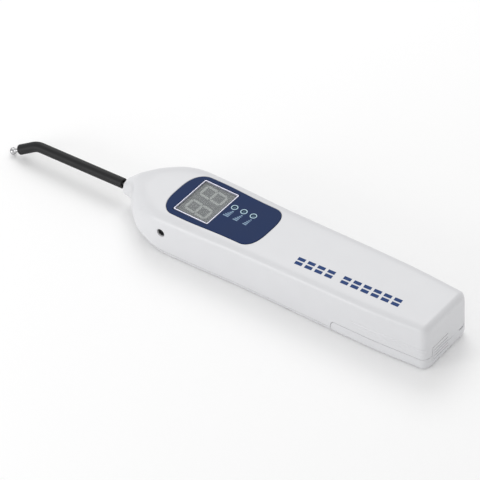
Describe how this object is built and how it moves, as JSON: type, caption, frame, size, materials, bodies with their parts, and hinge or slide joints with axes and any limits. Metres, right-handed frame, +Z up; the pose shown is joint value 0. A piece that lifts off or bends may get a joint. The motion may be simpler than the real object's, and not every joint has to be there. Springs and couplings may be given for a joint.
{
  "type": "dental pulp tester",
  "caption": "Handheld battery-powered dental pulp tester: bottle-nosed white housing, two-digit display panel, side button, sliding battery cover and a bent plug-in probe.",
  "frame": {"origin": "on the flat underside, at the middle of the housing's length", "axes": "+X along the housing towards the probe, +Y to the user's left, +Z up out of the display panel"},
  "size_m": [0.2212, 0.0368, 0.0221],
  "materials": {
    "white_housing": "satin moulded ABS",
    "blue_panel": "printed satin overlay",
    "blue_button": "satin moulded cap",
    "silver_trim": "silver-coated frame",
    "clear_window": "clear polycarbonate",
    "grey_module": "dark grey face",
    "led_lens": "diffused lens",
    "green_board": "solder mask",
    "black_plastic": "moulded",
    "bright_metal": "bright stainless",
    "brass": "turned",
    "black_sleeve": "insulating sleeve",
    "battery_case": "printed jacket",
    "red_wire": "insulated wire",
    "foam": "closed-cell foam",
    "yellow_tape": "insulating tape"
  },
  "bodies": {
    "housing": {"top_shell": "white_housing", "bottom_shell": "white_housing", "display_panel": "blue_panel", "window_bezel": "silver_trim", "display_window": "clear_window", "digit_module": "grey_module", "led_high": "led_lens", "led_mid": "led_lens", "led_low": "led_lens", "main_board": "green_board", "microcontroller": "black_plastic", "step_up_transformer": "yellow_tape", "switching_transistor": "black_plastic", "storage_capacitor": "black_plastic", "buzzer": "black_plastic", "tact_switch": "black_plastic", "lip_hook_jack": "black_plastic", "probe_socket": "brass", "battery": "battery_case", "battery_plus_stud": "bright_metal", "battery_minus_stud": "bright_metal", "battery_connector": "black_plastic", "battery_pad": "foam", "positive_lead": "red_wire", "negative_lead": "black_plastic", "probe_lead": "red_wire", "screw_front_left": "bright_metal", "screw_front_right": "bright_metal", "screw_rear_left": "bright_metal", "screw_rear_right": "bright_metal"},
    "battery_cover": {"battery_cover": "white_housing"},
    "push_button": {"push_button": "blue_button"},
    "collet": {"contact_collet": "bright_metal"},
    "probe": {"probe_pin": "bright_metal", "probe_sleeve": "black_sleeve"}
  },
  "joints": [
    {"name": "battery_cover_slide", "type": "slide", "parent": "housing", "child": "battery_cover", "axis": [-1, 0, 0], "range_m": [0, 0.05]},
    {"name": "button_press", "type": "slide", "parent": "housing", "child": "push_button", "axis": [0, 1, 0], "range_m": [0, 0.0006], "stiffness_N_per_m": 2000, "springref_m": -0.0002},
    {"name": "probe_turn", "type": "hinge", "parent": "housing", "child": "collet", "pos_m": [0.08, 0, 0.0088], "axis": [1, 0, 0], "continuous": true},
    {"name": "probe_pull", "type": "slide", "parent": "collet", "child": "probe", "axis": [1, 0, 0], "range_m": [0, 0.014]}
  ]
}
